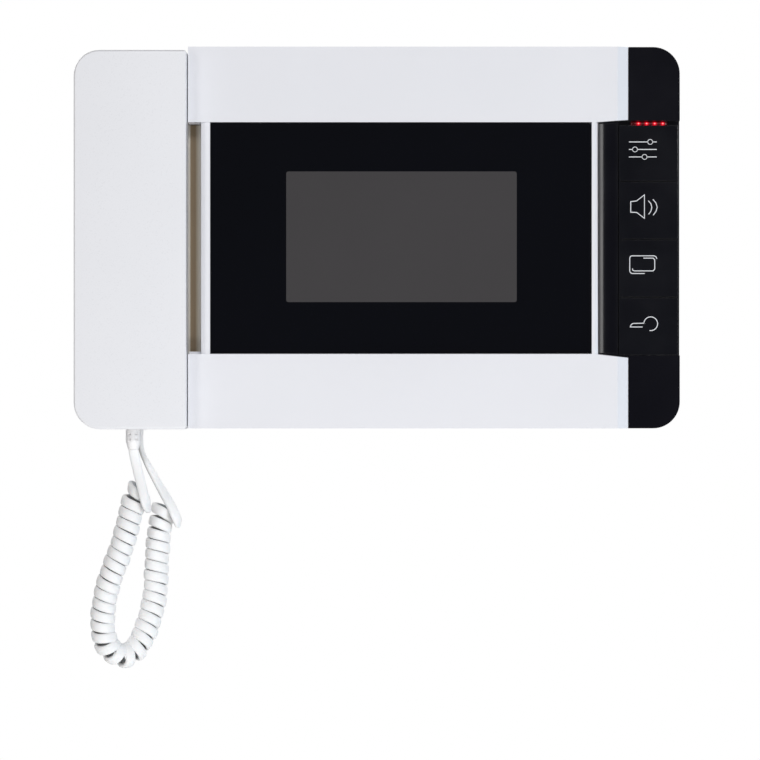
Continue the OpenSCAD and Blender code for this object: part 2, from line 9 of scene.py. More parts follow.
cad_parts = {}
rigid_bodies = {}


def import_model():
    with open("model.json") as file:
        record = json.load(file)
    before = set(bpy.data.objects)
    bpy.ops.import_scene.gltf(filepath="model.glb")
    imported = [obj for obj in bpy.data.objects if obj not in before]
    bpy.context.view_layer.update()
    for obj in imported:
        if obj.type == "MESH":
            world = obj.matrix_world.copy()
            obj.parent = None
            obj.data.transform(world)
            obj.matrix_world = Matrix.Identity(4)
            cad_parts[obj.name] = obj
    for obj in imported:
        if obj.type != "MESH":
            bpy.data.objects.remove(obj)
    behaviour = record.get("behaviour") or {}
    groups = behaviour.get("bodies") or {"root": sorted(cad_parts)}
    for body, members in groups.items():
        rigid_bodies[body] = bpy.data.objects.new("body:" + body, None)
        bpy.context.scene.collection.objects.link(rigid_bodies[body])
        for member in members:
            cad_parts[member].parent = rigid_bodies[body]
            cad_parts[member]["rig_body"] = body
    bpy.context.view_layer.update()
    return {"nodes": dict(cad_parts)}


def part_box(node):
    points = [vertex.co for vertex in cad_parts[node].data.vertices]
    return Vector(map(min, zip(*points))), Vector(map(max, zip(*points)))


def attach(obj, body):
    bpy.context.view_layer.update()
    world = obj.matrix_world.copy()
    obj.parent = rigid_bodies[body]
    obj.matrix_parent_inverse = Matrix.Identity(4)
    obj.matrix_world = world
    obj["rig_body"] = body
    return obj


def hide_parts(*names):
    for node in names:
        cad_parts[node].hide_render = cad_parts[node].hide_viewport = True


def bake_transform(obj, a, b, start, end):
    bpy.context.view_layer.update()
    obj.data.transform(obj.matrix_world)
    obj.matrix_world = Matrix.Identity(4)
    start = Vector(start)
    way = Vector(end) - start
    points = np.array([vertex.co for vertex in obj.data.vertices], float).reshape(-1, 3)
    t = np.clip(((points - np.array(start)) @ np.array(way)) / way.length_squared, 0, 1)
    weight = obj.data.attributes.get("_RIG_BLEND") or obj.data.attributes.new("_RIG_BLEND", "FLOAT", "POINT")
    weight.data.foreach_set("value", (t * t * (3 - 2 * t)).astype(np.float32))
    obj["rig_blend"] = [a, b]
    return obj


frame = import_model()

nodes = frame["nodes"]
scene = bpy.context.scene
MM = 0.001
scene.view_settings.view_transform = "Standard"
scene.view_settings.look = "None"


# ---------------------------------------------------------------- camera
cam_data = bpy.data.cameras.new("camera")
cam_data.lens = 229.94
cam_data.sensor_width = 36
cam = bpy.data.objects.new("camera", cam_data)
cam.location = (0.00134, -2.038, -0.05855)
cam.rotation_euler = (math.radians(90), 0, 0)
cam_data.clip_start, cam_data.clip_end = 0.05, 50
scene.collection.objects.link(cam)
scene.camera = cam


# ---------------------------------------------------------------- helpers
def lin(v):
    v = v / 255.0
    return v / 12.92 if v <= 0.04045 else ((v + 0.055) / 1.055) ** 2.4


def rgb(r, g, b):
    return (lin(r), lin(g), lin(b), 1.0)


def scaled(c, k):
    return (min(1, c[0] * k), min(1, c[1] * k), min(1, c[2] * k), 1.0)


def new_object(name, verts, faces, smooth=True):
    """A mesh object from points in millimetres, in the frame's X, Y and Z."""
    me = bpy.data.meshes.new(name)
    me.from_pydata([tuple(c * MM for c in v) for v in verts], [], faces)
    me.validate()
    me.update()
    ob = bpy.data.objects.new(name, me)
    scene.collection.objects.link(ob)
    bm = bmesh.new()
    bm.from_mesh(me)
    bmesh.ops.recalc_face_normals(bm, faces=bm.faces)
    bm.to_mesh(me)
    bm.free()
    if smooth:
        me.shade_smooth()
    return ob


def sharp_by_angle(me, deg):
    bm = bmesh.new()
    bm.from_mesh(me)
    for ed in bm.edges:
        ed.smooth = not (len(ed.link_faces) == 2 and ed.calc_face_angle(0) > math.radians(deg))
    for f in bm.faces:
        f.smooth = True
    bm.to_mesh(me)
    bm.free()


def apply_modifiers(ob):
    bpy.context.view_layer.update()
    dg = bpy.context.evaluated_depsgraph_get()
    me = bpy.data.meshes.new_from_object(ob.evaluated_get(dg), preserve_all_data_layers=True, depsgraph=dg)
    ob.modifiers.clear()
    ob.data = me
    return ob


def clean_copy(node):
    """The CAD node's shape with its flat faces joined up, as a new mesh."""
    me = nodes[node].data.copy()
    me.materials.clear()
    for a in [a.name for a in me.attributes if a.name in ("custom_normal", "UVMap")]:
        me.attributes.remove(me.attributes[a])
    bm = bmesh.new()
    bm.from_mesh(me)
    bmesh.ops.remove_doubles(bm, verts=bm.verts, dist=2e-6)
    bmesh.ops.dissolve_limit(bm, angle_limit=math.radians(0.5), use_dissolve_boundaries=False,
                             verts=bm.verts, edges=bm.edges)
    bmesh.ops.recalc_face_normals(bm, faces=bm.faces)
    bm.to_mesh(me)
    bm.free()
    return me


def refine(node, width, segs, mat, name=None, angle=34, body=None, crisp=40, shape=None):
    """Stands for a CAD node with the same shape and moulded, rounded edges."""
    ob = bpy.data.objects.new(name or node + "_finished", clean_copy(node))
    if shape:
        shape(ob.data)
    scene.collection.objects.link(ob)
    bev = ob.modifiers.new("edge", "BEVEL")
    bev.width = width * MM
    bev.segments = segs
    bev.limit_method = "ANGLE"
    bev.angle_limit = math.radians(angle)
    bev.use_clamp_overlap = True
    bev.harden_normals = False
    bev.miter_outer = "MITER_ARC"
    apply_modifiers(ob)
    sharp_by_angle(ob.data, crisp)
    wn = ob.modifiers.new("normals", "WEIGHTED_NORMAL")
    wn.keep_sharp = True
    wn.weight = 60
    apply_modifiers(ob)
    ob.data.materials.clear()
    ob.data.materials.append(mat)
    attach(ob, body or nodes[node]["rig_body"])
    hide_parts(node)
    return ob


# ---------------------------------------------------------------- materials
def material(name, colour, rough=0.35, mottle=0.02, mottle_scale=30, grain=0.0, grain_scale=2500,
             rough_var=0.04, metallic=0.0, coat=0.0, coat_rough=0.08, ior=1.5, spec=0.5,
             tint=None, emission=None, strength=0.0, subsurface=0.0, stretch=(1, 1, 1), scratch=0.0):
    """Moulded, painted or plated surface: two close tones in soft clouds, its own grain and gloss."""
    m = bpy.data.materials.new(name)
    m.use_nodes = True
    nt = m.node_tree
    bsdf = nt.nodes["Principled BSDF"]
    co = nt.nodes.new("ShaderNodeTexCoord")
    mp = nt.nodes.new("ShaderNodeMapping")
    mp.inputs["Scale"].default_value = stretch
    nt.links.new(co.outputs["Object"], mp.inputs["Vector"])
    n1 = nt.nodes.new("ShaderNodeTexNoise")
    n1.inputs["Scale"].default_value = mottle_scale
    n1.inputs["Detail"].default_value = 4
    nt.links.new(mp.outputs["Vector"], n1.inputs["Vector"])
    ramp = nt.nodes.new("ShaderNodeValToRGB")
    ramp.color_ramp.elements[0].position = 0.3
    ramp.color_ramp.elements[1].position = 0.7
    ramp.color_ramp.elements[0].color = scaled(colour, 1 - mottle)
    ramp.color_ramp.elements[1].color = scaled(tint or colour, 1 + mottle)
    nt.links.new(n1.outputs["Fac"], ramp.inputs["Fac"])
    nt.links.new(ramp.outputs["Color"], bsdf.inputs["Base Color"])
    n2 = nt.nodes.new("ShaderNodeTexNoise")
    n2.inputs["Scale"].default_value = grain_scale
    n2.inputs["Detail"].default_value = 2
    nt.links.new(mp.outputs["Vector"], n2.inputs["Vector"])
    mr = nt.nodes.new("ShaderNodeMapRange")
    mr.inputs["From Min"].default_value = 0.3
    mr.inputs["From Max"].default_value = 0.7
    mr.inputs["To Min"].default_value = max(0.01, rough - rough_var)
    mr.inputs["To Max"].default_value = min(1.0, rough + rough_var)
    nt.links.new((n1 if rough < 0.2 else n2).outputs["Fac"], mr.inputs["Value"])
    nt.links.new(mr.outputs["Result"], bsdf.inputs["Roughness"])
    if grain > 0:
        bump = nt.nodes.new("ShaderNodeBump")
        bump.inputs["Strength"].default_value = grain
        bump.inputs["Distance"].default_value = 0.00003
        nt.links.new(n2.outputs["Fac"], bump.inputs["Height"])
        nt.links.new(bump.outputs["Normal"], bsdf.inputs["Normal"])
    bsdf.inputs["Metallic"].default_value = metallic
    bsdf.inputs["IOR"].default_value = ior
    bsdf.inputs["Specular IOR Level"].default_value = spec
    bsdf.inputs["Coat Weight"].default_value = coat
    bsdf.inputs["Coat Roughness"].default_value = coat_rough
    if subsurface:
        bsdf.inputs["Subsurface Weight"].default_value = subsurface
        bsdf.inputs["Subsurface Radius"].default_value = (0.004, 0.003, 0.0025)
        bsdf.inputs["Subsurface Scale"].default_value = 0.4
    if emission:
        bsdf.inputs["Emission Color"].default_value = emission
        bsdf.inputs["Emission Strength"].default_value = strength
    return m


M = {
    "white_gloss": material("bar_white", rgb(238, 238, 242), 0.22, 0.010, 22, 0.06, 1800, 0.03, coat=0.35, coat_rough=0.10),
    "white_satin": material("case_white", rgb(232, 232, 233), 0.42, 0.014, 26, 0.30, 1500, 0.05),
    "cradle_white": material("cradle_white", rgb(226, 223, 214), 0.45, 0.014, 26, 0.25, 1500, 0.05),
    "handset_white": material("handset_white", rgb(238, 238, 241), 0.30, 0.010, 18, 0.10, 1700, 0.04, coat=0.15, coat_rough=0.2),
    "black_gloss": material("panel_black", rgb(8, 8, 16), 0.16, 0.08, 35, 0.04, 1500, 0.03, coat=0.06, coat_rough=0.05, spec=0.24),
    "key_black": material("key_black", rgb(7, 8, 15), 0.17, 0.08, 40, 0.05, 1600, 0.04, coat=0.06, coat_rough=0.06, spec=0.24),
    "window_black": material("window_black", rgb(5, 6, 12), 0.06, 0.10, 12, 0.0, 900, 0.015, coat=0.08, coat_rough=0.03, spec=0.22),
    "window_lit": material("window_lit_area", rgb(68, 66, 67), 0.07, 0.03, 14, 0.0, 900, 0.015, coat=0.08, coat_rough=0.03, spec=0.22),
    "lcd_glass": material("lcd_glass", rgb(66, 64, 66), 0.12, 0.03, 40, 0.0),
    "zinc_steel": material("zinc_steel", rgb(196, 200, 204), 0.36, 0.05, 160, 0.10, 2600, 0.08, metallic=1.0, tint=rgb(214, 216, 208)),
    "steel": material("screw_steel", rgb(190, 192, 196), 0.28, 0.06, 300, 0.08, 4000, 0.06, metallic=1.0),
    "weight_steel": material("weight_steel", rgb(130, 132, 136), 0.48, 0.10, 120, 0.25, 2400, 0.10, metallic=1.0),
    "tin_steel": material("tin_steel", rgb(205, 206, 208), 0.25, 0.05, 120, 0.05, 3000, 0.06, metallic=1.0),
    "board_green": material("board_green", rgb(22, 74, 44), 0.30, 0.16, 260, 0.12, 3200, 0.06, tint=rgb(30, 90, 52), coat=0.4),
    "black_plastic": material("black_plastic", rgb(24, 24, 26), 0.45, 0.10, 200, 0.30, 3000, 0.08),
    "grey_plastic": material("grey_plastic", rgb(88, 90, 94), 0.48, 0.06, 120, 0.30, 2200, 0.06),
    "ferrite": material("ferrite", rgb(58, 54, 52), 0.62, 0.15, 400, 0.40, 3600, 0.06, tint=rgb(74, 66, 60)),
    "capacitor_sleeve": material("capacitor_sleeve", rgb(30, 34, 60), 0.26, 0.08, 160, 0.05, 2400, 0.05, coat=0.3),
    "relay_blue": material("relay_blue", rgb(36, 78, 150), 0.32, 0.06, 120, 0.15, 2400, 0.05),
    "terminal_green": material("terminal_green", rgb(34, 120, 66), 0.38, 0.06, 140, 0.20, 2400, 0.05),
    "fuse_glass": material("fuse_glass", rgb(196, 202, 200), 0.08, 0.04, 200, 0.0, coat=0.6, coat_rough=0.03),
    "film_amber": material("film_amber", rgb(190, 112, 34), 0.25, 0.08, 220, 0.05, 2400, 0.05, coat=0.3),
    "ribbon_grey": material("ribbon_grey", rgb(176, 178, 180), 0.45, 0.08, 600, 0.25, 2400, 0.05, stretch=(0.2, 3, 1)),
    "rubber_black": material("rubber_black", rgb(26, 26, 27), 0.70, 0.12, 220, 0.50, 2600, 0.08),
    "foam_black": material("foam_black", rgb(30, 30, 31), 0.92, 0.22, 1400, 0.90, 2600, 0.05),
    "wire_red": material("wire_red", rgb(150, 26, 24), 0.38, 0.08, 300, 0.10, 2600, 0.05),
    "cord_white": material("cord_white", rgb(245, 245, 245), 0.6, 0.012, 60, 0.12, 2200, 0.05, spec=0.3, subsurface=0.12),
    "boot_white": material("boot_white", rgb(246, 245, 245), 0.42, 0.014, 60, 0.20, 2200, 0.05),
    "icon_grey": material("icon_print", rgb(226, 227, 230), 0.45, 0.04, 400, 0.08, 3000, 0.05),
    "led_red": material("led_red", rgb(120, 6, 10), 0.20, 0.10, 400, 0.0, emission=(1.0, 0.02, 0.03, 1), strength=2.0),
    "brass": material("brass", rgb(196, 168, 104), 0.32, 0.08, 200, 0.1, 2600, 0.06, metallic=1.0),
}


def paint_groove_shade():
    """The cradle's floor gets painted shade at the foot of the finger groove: brown and dark across the groove, lighter
    towards the window's margin, with a painted light band along the handset's edge.
    """
    m = M["cradle_white"]
    nt = m.node_tree
    co = nt.nodes.new("ShaderNodeTexCoord")
    sep = nt.nodes.new("ShaderNodeSeparateXYZ")
    nt.links.new(co.outputs["Object"], sep.inputs[0])
    mr = nt.nodes.new("ShaderNodeMapRange")
    mr.inputs["From Min"].default_value = -0.0785
    mr.inputs["From Max"].default_value = -0.0725
    nt.links.new(sep.outputs["X"], mr.inputs["Value"])
    ramp = nt.nodes.new("ShaderNodeValToRGB")
    ramp.color_ramp.elements[0].color = rgb(226, 224, 220)
    ramp.color_ramp.elements[1].color = rgb(228, 227, 226)
    # painted light and shade along X: a light band at the handset's edge, brown painted shade in the groove, then
    # lighter up to the margin
    for at, col in ((0.11, (244, 240, 231)), (0.22, (150, 130, 101)), (0.52, (142, 122, 94)), (0.60, (176, 162, 139)),
                    (0.75, (212, 205, 190)), (0.88, (238, 234, 226))):
        ramp.color_ramp.elements.new(at).color = rgb(*col)
    nt.links.new(mr.outputs["Result"], ramp.inputs["Fac"])
    base = nt.nodes["Principled BSDF"].inputs["Base Color"]
    mix = nt.nodes.new("ShaderNodeMix")
    mix.data_type = "RGBA"
    mix.blend_type = "MULTIPLY"
    mix.inputs["Factor"].default_value = 0.15
    nt.links.new(ramp.outputs["Color"], mix.inputs["A"])
    nt.links.new(base.links[0].from_socket, mix.inputs["B"])
    nt.links.new(mix.outputs["Result"], base)


paint_groove_shade()


# ---------------------------------------------------------------- cord
COIL = [(-100.4, -29, -108.4), (-101.4, -29, -112), (-103.8, -29, -121.5), (-106.5, -28.5, -130), (-109.6, -28, -138.5),
        (-112, -27, -146.5), (-113.5, -26, -155), (-113.6, -25, -162.5), (-111.6, -24, -168.8),
        (-107.6, -22.6, -172.4), (-103, -21, -172.6), (-99, -20, -168.6), (-96, -19, -162.5),
        (-93.6, -18, -154.5), (-92.2, -17, -146), (-91.8, -16.4, -137.5), (-91.2, -16, -129.5),
        (-90.6, -15.6, -121.5), (-89.8, -15.2, -117.4), (-88.9, -15, -113.2)]
END_Z = -115.6
COIL_R = 4.05
CORD_WIDE = 4.1
CORD_THIN = 2.2
PITCH = 4.25


def catmull(points, per):
    """Points on a smooth curve through the given rows of numbers, per of them to each stretch."""
    p = np.array(points, float)
    out = []
    for i in range(len(p) - 1):
        a, b, c, d = p[max(i - 1, 0)], p[i], p[i + 1], p[min(i + 2, len(p) - 1)]
        n = per[i] if hasattr(per, "__len__") else per
        for j in range(n):
            t = j / n
            out.append(0.5 * (2 * b + t * (c - a) + t * t * (2 * a - 5 * b + 4 * c - d)
                              + t ** 3 * (3 * b - a - 3 * c + d)))
    out.append(p[-1])
    return np.array(out)


def unit(v):
    n = np.linalg.norm(v)
    return v / n if n > 1e-12 else v


def coil_path():
    """Rows of place and flat face's direction along the curled stretch."""
    c = catmull(COIL, 24)
    step = np.linalg.norm(np.diff(c, axis=0), axis=1)
    s = np.concatenate([[0], np.cumsum(step)])
    t = np.gradient(c, s, axis=0)
    t /= np.linalg.norm(t, axis=1)[:, None]
    k = np.linalg.norm(np.gradient(t, s, axis=0), axis=1)
    k = np.convolve(np.pad(k, 12, mode="edge"), np.ones(25) / 25, "valid")
    pitch = PITCH / (1 - np.clip(k * 0.9, 0, 0.18))
    theta = np.concatenate([[0], np.cumsum(step * 2 * math.pi / ((pitch[1:] + pitch[:-1]) / 2))])
    # a whole number of turns, so that the last one ends at the right, where the straight end leaves
    end = max(i for i in range(len(c)) if c[i, 2] < END_Z)
    turns = theta[end] / (2 * math.pi) + 0.56
    theta *= (round(turns - 0.74) + 0.74 - 0.56) / (turns - 0.56)
    # the curl starts behind, just under the end of the front strand, and ends behind
    n = int(theta[-1] / (2 * math.pi) * 26)
    rows, angles = [], []
    for j in range(n + 1):
        th = 2 * math.pi * j / 26
        sj = np.interp(th, theta, s)
        cc = np.array([np.interp(sj, s, c[:, a]) for a in range(3)])
        tt = unit(np.array([np.interp(sj, s, t[:, a]) for a in range(3)]))
        f = unit(np.array([0, -1.0, 0]) - np.dot([0, -1.0, 0], tt) * tt)
        sd = np.cross(tt, f)
        ang = th + math.pi * 1.12
        # each turn sits a little differently from its neighbours
        wob = 1 + 0.035 * math.sin(th * 0.37 + 0.6) + 0.02 * math.sin(th * 1.13)
        radial = math.cos(ang) * f - math.sin(ang) * sd
        rows.append(np.concatenate([cc + COIL_R * wob * radial, radial]))
        angles.append(ang / (2 * math.pi))
    return rows, angles


def row(x, d, z, nx, nd, nz):
    return np.array([x, -d, z, nx, -nd, nz], float)


coil, angles = coil_path()
FRONT_TAIL = [row(-100.6, 32, -85.6, 0, 1, 0), row(-100.3, 32.2, -88.9, 0, 1, 0),
              row(-98.7, 33.6, -95.9, 0, 1, 0), row(-96.9, 35.2, -102.7, .1, 1, 0),
              row(-96.0, 35.9, -106.6, .3, .95, 0), row(-95.3, 35.2, -109.8, .65, .75, 0),
              row(-94.5, 31.6, -111.6, 1, .2, 0), row(-94.7, 26.8, -110.7, .95, -.35, 0),
              row(-96.2, 22.8, -107.4, .3, -.95, .1), row(-99.4, 22.4, -103.8, -.3, -.95, .15),
              row(-101.7, 24.8, -102.3, -.9, -.4, .1), row(-102.0, 28.4, -103.0, -.95, .3, .1),
              row(-100.6, 31.6, -104.6, -.4, .9, .05), row(-98.2, 32.2, -106.2, .3, .95, 0),
              row(-96.5, 29.6, -107.4, 1, .1, 0), row(-98.4, 25.8, -108.0, .4, -.9, 0)]
BACK_TAIL = [row(-88.3, 19.3, -113.9, .1, 1, 0), row(-91.6, 18.0, -112.2, -.7, .7, .1), row(-92.8, 15.0, -111.6, -1, -.1, .1),
             row(-91.0, 12.0, -111.9, -.5, -.85, .1), row(-87.8, 11.0, -113.2, .4, -.9, .1), row(-85.0, 12.0, -115.2, .8, -.6, 0),
             row(-82.9, 15.2, -117.4, 1, -.1, -.2), row(-82.5, 18.6, -118.0, .85, .5, -.2),
             row(-83.5, 20.6, -115.2, .5, .85, 0), row(-85.7, 19.6, -110.6, .5, .85, 0),
             row(-90.1, 17, -103.2, .72, .68, 0), row(-95.1, 13.8, -94.5, .9, .42, 0),
             row(-98.0, 11.4, -88.5, 1, .15, 0), row(-98.7, 10.3, -83.4, 1, .05, 0),
             row(-98.6, 10, -80.4, 1, .02, 0), row(-98.6, 10, -78.6, 1, .02, 0)]
# The first rows of the curl join on from the side, where the front strand goes round.
first = 0
last_row = max(j for j, a in enumerate(angles) if a % 1 < 0.74 and (a + 1 / 26) % 1 >= 0.74)
rows = FRONT_TAIL + coil[first:last_row + 1] + BACK_TAIL
per = [10] * len(FRONT_TAIL) + [1] * (last_row - first) + [10] * len(BACK_TAIL)
line = catmull(rows, per)
path = line[:, :3]
seg = np.linalg.norm(np.diff(path, axis=0), axis=1)
arc = np.concatenate([[0], np.cumsum(seg)])
tang = np.gradient(path, axis=0)
tang /= np.linalg.norm(tang, axis=1)[:, None]
SECTION = 14
verts, weights, inner_shade = [], [], []
for i in range(len(path)):
    nrm = line[i, 3:]
    nrm = unit(nrm - np.dot(nrm, tang[i]) * tang[i])
    wide = np.cross(tang[i], nrm)
    for q in range(SECTION):
        a = 2 * math.pi * q / SECTION
        cx, sx = math.cos(a), math.sin(a)
        # flat cord with well rounded sides
        u = math.copysign(abs(cx) ** 0.66, cx) * CORD_WIDE / 2
        v = math.copysign(abs(sx) ** 0.66, sx) * CORD_THIN / 2
        verts.append(path[i] + wide * u + nrm * v)
        weights.append(1 - arc[i] / arc[-1])
        # painted shade: the cord's inner side, facing into the coil, is marked for a darker grey where the coil shades
        # it
        inner_shade.append(min(1.0, max(0.0, -sx * 1.6 + 0.1)))
faces = []
for i in range(len(path) - 1):
    for q in range(SECTION):
        r = (q + 1) % SECTION
        faces.append((i * SECTION + q, i * SECTION + r, (i + 1) * SECTION + r, (i + 1) * SECTION + q))
faces.append(tuple(range(SECTION))[::-1])
faces.append(tuple((len(path) - 1) * SECTION + q for q in range(SECTION)))
cord = new_object("curly_cord", verts, faces)
shade = cord.data.attributes.new("inner_shade", "FLOAT", "POINT")
shade.data.foreach_set("value", np.array(inner_shade, dtype=np.float32))
cord_mat = M["cord_white"].copy()
cord_mat.name = "cord_white_curl"
nt = cord_mat.node_tree
inner_shade_attr = nt.nodes.new("ShaderNodeAttribute")
inner_shade_attr.attribute_name = "inner_shade"
mix = nt.nodes.new("ShaderNodeMix")
mix.data_type = "RGBA"
base_in = nt.nodes["Principled BSDF"].inputs["Base Color"]
nt.links.new(base_in.links[0].from_socket, mix.inputs["A"])
# painted shade colour for the coil's inner faces and the gaps that show them
mix.inputs["B"].default_value = rgb(176, 176, 176)
nt.links.new(inner_shade_attr.outputs["Fac"], mix.inputs["Factor"])
nt.links.new(mix.outputs["Result"], base_in)
cord.data.materials.append(cord_mat)
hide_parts("cord_tail_handset", "cord_coil", "cord_tail_base")
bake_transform(cord, "base", "handset", start=(-0.0986, -0.010, -0.080), end=(-0.1006, -0.032, -0.087))
# every turn opens by the same share of the handset's travel, so the weight runs with the cord's own length
w = np.clip((np.array(weights) - 0.02) / 0.96, 0, 1).astype(np.float32)
cord.data.attributes["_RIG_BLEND"].data.foreach_set("value", w)

handset_boot = refine("handset_boot", 0.25, 2, M["boot_white"])
base_boot = refine("base_boot", 0.25, 2, M["boot_white"])


# ---------------------------------------------------------------- handset
b0, b1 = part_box("handset_front_shell")
HX0, HX1 = b0.x / MM, b1.x / MM
HZ0, HZ1 = b0.z / MM, b1.z / MM
HD0, HD1 = -b1.y / MM, -b0.y / MM
HCX, HCZ = (HX0 + HX1) / 2, (HZ0 + HZ1) / 2


def ring_outline(i, radii, nc=10, nv=26, nh=8):
    """Rounded outline of the handset, set in by i, as points in X and Z, the same count for every i."""
    ir = 0.4 * i if i < 1.02 else i - 0.612
    x0, x1, z0, z1 = HX0 + i, HX1 - ir, HZ0 + i, HZ1 - i
    r = [max(q - i, 0.25) for q in radii]
    lim = min(x1 - x0, z1 - z0) / 2 * 0.98
    r = [min(q, lim) for q in r]
    tl, tr, br, bl = r
    pts = []

    def corner(cx, cz, rad, a0):
        for k in range(nc + 1):
            a = math.radians(a0 - 90 * k / nc)
            pts.append((cx + rad * math.cos(a), cz + rad * math.sin(a)))

    def side(p, q, n):
        for k in range(1, n):
            t = k / n
            pts.append((p[0] + (q[0] - p[0]) * t, p[1] + (q[1] - p[1]) * t))

    corner(x0 + tl, z1 - tl, tl, 180)
    side((x0 + tl, z1), (x1 - tr, z1), nh)
    corner(x1 - tr, z1 - tr, tr, 90)
    side((x1, z1 - tr), (x1, z0 + br), nv)
    corner(x1 - br, z0 + br, br, 0)
    side((x1 - br, z0), (x0 + bl, z0), nh)
    corner(x0 + bl, z0 + bl, bl, -90)
    side((x0, z0 + bl), (x0, z1 - tl), nv)
    return pts


def crown(x, z):
    return 0.7 * ((x - HCX) / 23.2) ** 2 + 0.25 * ((z - HCZ) / 78) ** 2


RAD = [10.5, 1.3, 1.3, 11.0]
rings = []  # (points, depth function)
FIL = 0.9
WALL = 2.2
draft = 0.12
# outside, from the rim at the back to the face
rings.append((0.55, lambda x, z: HD0))
rings.append((0.0, lambda x, z: HD0 + 0.35))
rings.append((0.0, lambda x, z: HD0 + 1.2))
for k in range(1, 4):
    rings.append((draft * k / 4, lambda x, z, k=k: HD0 + 1.2 + (HD1 - FIL - 0.9 - HD0 - 1.2) * k / 4))
for k in range(0, 9):
    a = math.radians(90 * k / 8)
    ins = draft + FIL * (1 - math.cos(a))
    up = FIL * math.sin(a)
    rings.append((ins, lambda x, z, up=up: HD1 - FIL + up - crown(x, z)))
for ins in (1.25, 1.8, 3, 5.5, 8, 11, 14, 17, 20, 22.2):
    rings.append((ins, lambda x, z: HD1 - crown(x, z)))
outer = []
for ins, depth in rings:
    outer.append([(x, -depth(x, z), z) for x, z in ring_outline(ins, RAD)])
# inside, from the rim at the back to the inner face
inner = []
for ins, depth in [(0.9, HD0), (WALL, HD0 + 0.05), (WALL, HD0 + 1.5), (WALL, (HD0 + HD1) / 2),
                   (WALL + 0.3, HD1 - 4.6), (WALL + 1.4, HD1 - 3.4), (WALL + 3.2, HD1 - 3.0), (12, HD1 - 2.8), (21.5, HD1 - 2.6)]:
    inner.append([(x, -depth, z) for x, z in ring_outline(ins, RAD)])
n = len(outer[0])
verts = [p for r in outer for p in r] + [p for r in inner for p in r]
faces = []


def bridge(a, b):
    for q in range(n):
        r = (q + 1) % n
        faces.append((a * n + q, a * n + r, b * n + r, b * n + q))


for k in range(len(outer) - 1):
    bridge(k, k + 1)
for k in range(len(inner) - 1):
    bridge(len(outer) + k, len(outer) + k + 1)
bridge(0, len(outer))
last = (len(outer) - 1) * n
faces.append(tuple(last + q for q in range(n)))
last = (len(outer) + len(inner) - 1) * n
faces.append(tuple(last + q for q in range(n)))
shell = new_object("handset_shell", verts, faces)
bm = bmesh.new()
bm.from_mesh(shell.data)
bmesh.ops.triangulate(bm, faces=[f for f in bm.faces if len(f.verts) > 4])
bmesh.ops.recalc_face_normals(bm, faces=bm.faces)
bm.to_mesh(shell.data)
bm.free()
sharp_by_angle(shell.data, 50)
shell.data.materials.append(M["handset_white"])
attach(shell, "handset")
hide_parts("handset_front_shell")

refine("handset_back_shell", 0.35, 2, M["handset_white"])
refine("screw_plugs", 0.15, 2, M["handset_white"])

# ---------------------------------------------------------------- case
def rib_slope(me):
    """The rib's right side slopes as gently as the ends of the bars."""
    for v in me.vertices:
        x, d, z = v.co.x / MM, -v.co.y / MM, v.co.z / MM
        if 91.0 < x < 91.4 and 35.7 < d < 36.3 and abs(z) < 49:
            v.co.y = -37.25 * MM


refine("front_frame", 0.18, 2, M["white_gloss"], angle=8, crisp=8, shape=rib_slope)
refine("side_panel", 0.25, 2, M["black_gloss"])
refine("front_housing", 0.35, 2, M["white_satin"])
refine("cradle", 0.35, 2, M["cradle_white"])
refine("wall_bracket", 0.20, 2, M["zinc_steel"])
refine("hook_plunger", 0.35, 3, M["white_satin"])
for nd in ("case_screws", "board_screws", "handset_screws", "terminal_screws"):
    refine(nd, 0.12, 1, M["steel"])
refine("terminal_block", 0.2, 2, M["terminal_green"])
for nd in ("key_settings", "key_talk", "key_monitor", "key_unlock"):
    refine(nd, 0.15, 2, M["key_black"])


# ---------------------------------------------------------------- display window
w0, w1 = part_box("display_window")
l0, l1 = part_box("lcd_panel")
WX0, WX1, WZ0, WZ1 = w0.x / MM, w1.x / MM, w0.z / MM, w1.z / MM
WD0, WD1 = -w1.y / MM, -w0.y / MM
LX0, LX1 = l0.x / MM + 3, l1.x / MM - 3
LZ0, LZ1 = l0.z / MM + 3.6, l1.z / MM - 3


def rounded(x0, z0, x1, z1, r, nc=6):
    pts = []
    for cx, cz, a0 in ((x0 + r, z1 - r, 180), (x1 - r, z1 - r, 90), (x1 - r, z0 + r, 0), (x0 + r, z0 + r, -90)):
        for k in range(nc + 1):
            a = math.radians(a0 - 90 * k / nc)
            pts.append((cx + r * math.cos(a), cz + r * math.sin(a)))
    return pts


def window():
    """One tinted sheet: its front is split where the printed black border ends."""
    rs = [(0.35, WD0), (0.0, WD0 + 0.3), (0.0, WD1 - 0.12), (0.04, WD1 - 0.04), (0.12, WD1), (0.4, WD1)]
    layers = [[(x, -d, z) for x, z in rounded(WX0 + i, WZ0 + i, WX1 - i, WZ1 - i, 0.5)] for i, d in rs]
    layers.append([(x, -WD1, z) for x, z in rounded(LX0 - 0.3, LZ0 - 0.3, LX1 + 0.3, LZ1 + 0.3, 1.2)])
    layers.append([(x, -WD1, z) for x, z in rounded(LX0, LZ0, LX1, LZ1, 0.9)])
    m = len(layers[0])
    vs = [p for la in layers for p in la]
    fs = []
    for k in range(len(layers) - 1):
        for q in range(m):
            r = (q + 1) % m
            fs.append((k * m + q, k * m + r, (k + 1) * m + r, (k + 1) * m + q))
    lit = len(fs)
    fs.append(tuple((len(layers) - 1) * m + q for q in range(m)))
    fs.append(tuple(q for q in range(m))[::-1])
    ob = new_object("tinted_window", vs, fs)
    ob.data.materials.append(M["window_black"])
    ob.data.materials.append(M["window_lit"])
    for f in ob.data.polygons:
        c = f.center
        if len(f.vertices) == m and c.y < -(WD1 - 0.01) * MM:
            f.material_index = 1
    sharp_by_angle(ob.data, 25)
    wn = ob.modifiers.new("normals", "WEIGHTED_NORMAL")
    wn.keep_sharp = True
    wn.weight = 100
    apply_modifiers(ob)
    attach(ob, "base")
    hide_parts("display_window")
    return ob


window()


# ---------------------------------------------------------------- lights in the slot
ll0, ll1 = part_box("led_lens")


